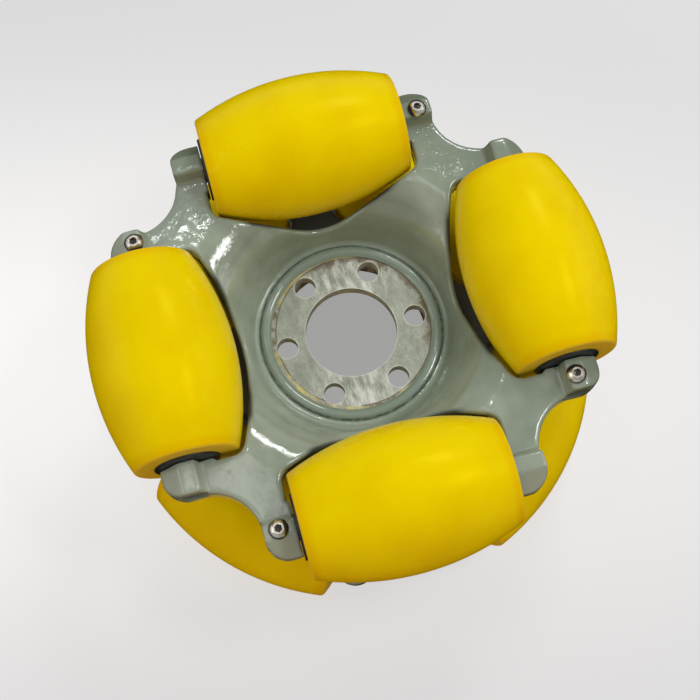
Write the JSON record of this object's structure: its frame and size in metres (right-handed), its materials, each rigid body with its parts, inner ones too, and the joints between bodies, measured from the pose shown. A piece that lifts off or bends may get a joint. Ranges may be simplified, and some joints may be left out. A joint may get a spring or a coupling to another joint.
{
  "type": "omni wheel",
  "caption": "Double-row omni wheel: a dished cast spider with a bolted flange carries two staggered rows of barrel rollers, each free to spin on its own axle.",
  "frame": {"origin": "centre of the wheel, on its axis midway between the two rows of rollers", "axes": "+Z along the wheel's axis out of the front face, +X through the middle of a front roller"},
  "size_m": [0.203, 0.203, 0.1144],
  "materials": {
    "casting": "gloss enamel",
    "tyre": "smooth polyurethane",
    "core": "turned",
    "bush": "satin",
    "axle": "dark oiled",
    "screw": "bright"
  },
  "bodies": {
    "hub": {"hub": "casting", "lock_screws": "screw", "front_roller_1_axle": "axle", "front_roller_2_axle": "axle", "front_roller_3_axle": "axle", "front_roller_4_axle": "axle", "rear_roller_1_axle": "axle", "rear_roller_2_axle": "axle", "rear_roller_3_axle": "axle", "rear_roller_4_axle": "axle"},
    "front_roller_1": {"front_roller_1_tyre": "tyre", "front_roller_1_core": "core", "front_roller_1_bush_a": "bush", "front_roller_1_bush_b": "bush"},
    "front_roller_2": {"front_roller_2_tyre": "tyre", "front_roller_2_core": "core", "front_roller_2_bush_a": "bush", "front_roller_2_bush_b": "bush"},
    "front_roller_3": {"front_roller_3_tyre": "tyre", "front_roller_3_core": "core", "front_roller_3_bush_a": "bush", "front_roller_3_bush_b": "bush"},
    "front_roller_4": {"front_roller_4_tyre": "tyre", "front_roller_4_core": "core", "front_roller_4_bush_a": "bush", "front_roller_4_bush_b": "bush"},
    "rear_roller_1": {"rear_roller_1_tyre": "tyre", "rear_roller_1_core": "core", "rear_roller_1_bush_a": "bush", "rear_roller_1_bush_b": "bush"},
    "rear_roller_2": {"rear_roller_2_tyre": "tyre", "rear_roller_2_core": "core", "rear_roller_2_bush_a": "bush", "rear_roller_2_bush_b": "bush"},
    "rear_roller_3": {"rear_roller_3_tyre": "tyre", "rear_roller_3_core": "core", "rear_roller_3_bush_a": "bush", "rear_roller_3_bush_b": "bush"},
    "rear_roller_4": {"rear_roller_4_tyre": "tyre", "rear_roller_4_core": "core", "rear_roller_4_bush_a": "bush", "rear_roller_4_bush_b": "bush"}
  },
  "joints": [
    {"name": "front_roller_1_spin", "type": "hinge", "parent": "hub", "child": "front_roller_1", "pos_m": [0.0737, 0, 0.02945], "axis": [0, 1, 0], "continuous": true},
    {"name": "front_roller_2_spin", "type": "hinge", "parent": "hub", "child": "front_roller_2", "pos_m": [0, 0.0737, 0.02945], "axis": [-1, 0, 0], "continuous": true},
    {"name": "front_roller_3_spin", "type": "hinge", "parent": "hub", "child": "front_roller_3", "pos_m": [-0.0737, 0, 0.02945], "axis": [0, -1, 0], "continuous": true},
    {"name": "front_roller_4_spin", "type": "hinge", "parent": "hub", "child": "front_roller_4", "pos_m": [0, -0.0737, 0.02945], "axis": [1, 0, 0], "continuous": true},
    {"name": "rear_roller_1_spin", "type": "hinge", "parent": "hub", "child": "rear_roller_1", "pos_m": [0.05211, 0.05211, -0.02945], "axis": [-0.7071, 0.7071, 0], "continuous": true},
    {"name": "rear_roller_2_spin", "type": "hinge", "parent": "hub", "child": "rear_roller_2", "pos_m": [0.05211, -0.05211, -0.02945], "axis": [0.7071, 0.7071, 0], "continuous": true},
    {"name": "rear_roller_3_spin", "type": "hinge", "parent": "hub", "child": "rear_roller_3", "pos_m": [-0.05211, -0.05211, -0.02945], "axis": [0.7071, -0.7071, 0], "continuous": true},
    {"name": "rear_roller_4_spin", "type": "hinge", "parent": "hub", "child": "rear_roller_4", "pos_m": [-0.05211, 0.05211, -0.02945], "axis": [-0.7071, -0.7071, 0], "continuous": true}
  ]
}
